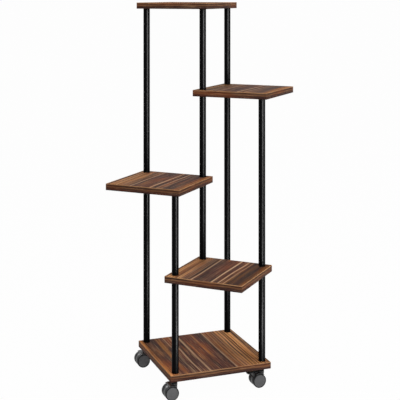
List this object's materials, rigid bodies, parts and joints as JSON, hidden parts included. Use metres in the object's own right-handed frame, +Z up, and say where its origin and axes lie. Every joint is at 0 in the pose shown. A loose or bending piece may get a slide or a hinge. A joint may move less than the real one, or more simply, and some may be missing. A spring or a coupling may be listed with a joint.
{
  "type": "plant stand",
  "caption": "Tall rolling plant stand: square wooden shelves turned 45 degrees climb around a centre post on black tube legs, over a wooden base on twin-wheel casters.",
  "frame": {"origin": "on the floor below the centre post, at the middle of the base board in plan", "axes": "+Z up, -Y to the lowest turned shelf, which is the front, +X to the right of someone who faces it"},
  "size_m": [0.5742, 0.5742, 1.066],
  "materials": {
    "board_wood": "scorched and striped",
    "tube_paint": "satin black",
    "fastener_steel": "zinc",
    "caster_plastic": "moulded",
    "wheel_plastic": "moulded",
    "pedal_plastic": "moulded"
  },
  "bodies": {
    "frame": {"base_board": "board_wood", "front_shelf": "board_wood", "left_shelf": "board_wood", "right_shelf": "board_wood", "top_shelf": "board_wood", "post_front_left_lower": "tube_paint", "post_front_left_upper": "tube_paint", "post_front_right_lower": "tube_paint", "post_front_right_upper": "tube_paint", "post_back_left_lower": "tube_paint", "post_back_left_upper": "tube_paint", "post_back_right_lower": "tube_paint", "post_back_right_upper": "tube_paint", "post_centre_lower": "tube_paint", "post_centre_middle": "tube_paint", "post_centre_upper": "tube_paint", "tube_end_nuts": "fastener_steel", "joining_studs": "fastener_steel", "end_studs": "fastener_steel", "insert_nuts": "fastener_steel", "centre_washer": "fastener_steel", "centre_screw": "fastener_steel", "caster_front_left_stem": "fastener_steel", "caster_front_right_stem": "fastener_steel", "caster_back_left_stem": "fastener_steel", "caster_back_right_stem": "fastener_steel"},
    "caster_front_left": {"caster_front_left_housing": "caster_plastic", "caster_front_left_axle": "fastener_steel"},
    "caster_front_left_front_wheel": {"caster_front_left_front_wheel": "wheel_plastic"},
    "caster_front_left_back_wheel": {"caster_front_left_back_wheel": "wheel_plastic"},
    "caster_front_right": {"caster_front_right_housing": "caster_plastic", "caster_front_right_axle": "fastener_steel", "caster_front_right_brake_pin": "fastener_steel"},
    "caster_front_right_front_wheel": {"caster_front_right_front_wheel": "wheel_plastic"},
    "caster_front_right_back_wheel": {"caster_front_right_back_wheel": "wheel_plastic"},
    "caster_front_right_brake_pedal": {"caster_front_right_brake_pedal": "pedal_plastic"},
    "caster_back_left": {"caster_back_left_housing": "caster_plastic", "caster_back_left_axle": "fastener_steel"},
    "caster_back_left_front_wheel": {"caster_back_left_front_wheel": "wheel_plastic"},
    "caster_back_left_back_wheel": {"caster_back_left_back_wheel": "wheel_plastic"},
    "caster_back_right": {"caster_back_right_housing": "caster_plastic", "caster_back_right_axle": "fastener_steel", "caster_back_right_brake_pin": "fastener_steel"},
    "caster_back_right_front_wheel": {"caster_back_right_front_wheel": "wheel_plastic"},
    "caster_back_right_back_wheel": {"caster_back_right_back_wheel": "wheel_plastic"},
    "caster_back_right_brake_pedal": {"caster_back_right_brake_pedal": "pedal_plastic"}
  },
  "joints": [
    {"name": "caster_front_left_swivel", "type": "hinge", "parent": "frame", "child": "caster_front_left", "pos_m": [-0.128, -0.128, 0.05], "axis": [0, 0, 1], "continuous": true},
    {"name": "caster_front_left_front_wheel_spin", "type": "hinge", "parent": "caster_front_left", "child": "caster_front_left_front_wheel", "pos_m": [-0.142, -0.128, 0.019], "axis": [0, 1, 0], "continuous": true},
    {"name": "caster_front_left_back_wheel_spin", "type": "hinge", "parent": "caster_front_left", "child": "caster_front_left_back_wheel", "pos_m": [-0.142, -0.128, 0.019], "axis": [0, 1, 0], "continuous": true},
    {"name": "caster_front_right_swivel", "type": "hinge", "parent": "frame", "child": "caster_front_right", "pos_m": [0.128, -0.128, 0.05], "axis": [0, 0, 1], "continuous": true},
    {"name": "caster_front_right_front_wheel_spin", "type": "hinge", "parent": "caster_front_right", "child": "caster_front_right_front_wheel", "pos_m": [0.114, -0.128, 0.019], "axis": [0, 1, 0], "continuous": true},
    {"name": "caster_front_right_back_wheel_spin", "type": "hinge", "parent": "caster_front_right", "child": "caster_front_right_back_wheel", "pos_m": [0.114, -0.128, 0.019], "axis": [0, 1, 0], "continuous": true},
    {"name": "caster_front_right_brake_press", "type": "hinge", "parent": "caster_front_right", "child": "caster_front_right_brake_pedal", "pos_m": [0.108, -0.128, 0.0435], "axis": [0, -1, 0], "range_deg": [0, 7]},
    {"name": "caster_back_left_swivel", "type": "hinge", "parent": "frame", "child": "caster_back_left", "pos_m": [-0.128, 0.128, 0.05], "axis": [0, 0, 1], "continuous": true},
    {"name": "caster_back_left_front_wheel_spin", "type": "hinge", "parent": "caster_back_left", "child": "caster_back_left_front_wheel", "pos_m": [-0.142, 0.128, 0.019], "axis": [0, 1, 0], "continuous": true},
    {"name": "caster_back_left_back_wheel_spin", "type": "hinge", "parent": "caster_back_left", "child": "caster_back_left_back_wheel", "pos_m": [-0.142, 0.128, 0.019], "axis": [0, 1, 0], "continuous": true},
    {"name": "caster_back_right_swivel", "type": "hinge", "parent": "frame", "child": "caster_back_right", "pos_m": [0.128, 0.128, 0.05], "axis": [0, 0, 1], "continuous": true},
    {"name": "caster_back_right_front_wheel_spin", "type": "hinge", "parent": "caster_back_right", "child": "caster_back_right_front_wheel", "pos_m": [0.114, 0.128, 0.019], "axis": [0, 1, 0], "continuous": true},
    {"name": "caster_back_right_back_wheel_spin", "type": "hinge", "parent": "caster_back_right", "child": "caster_back_right_back_wheel", "pos_m": [0.114, 0.128, 0.019], "axis": [0, 1, 0], "continuous": true},
    {"name": "caster_back_right_brake_press", "type": "hinge", "parent": "caster_back_right", "child": "caster_back_right_brake_pedal", "pos_m": [0.108, 0.128, 0.0435], "axis": [0, -1, 0], "range_deg": [0, 7]}
  ]
}
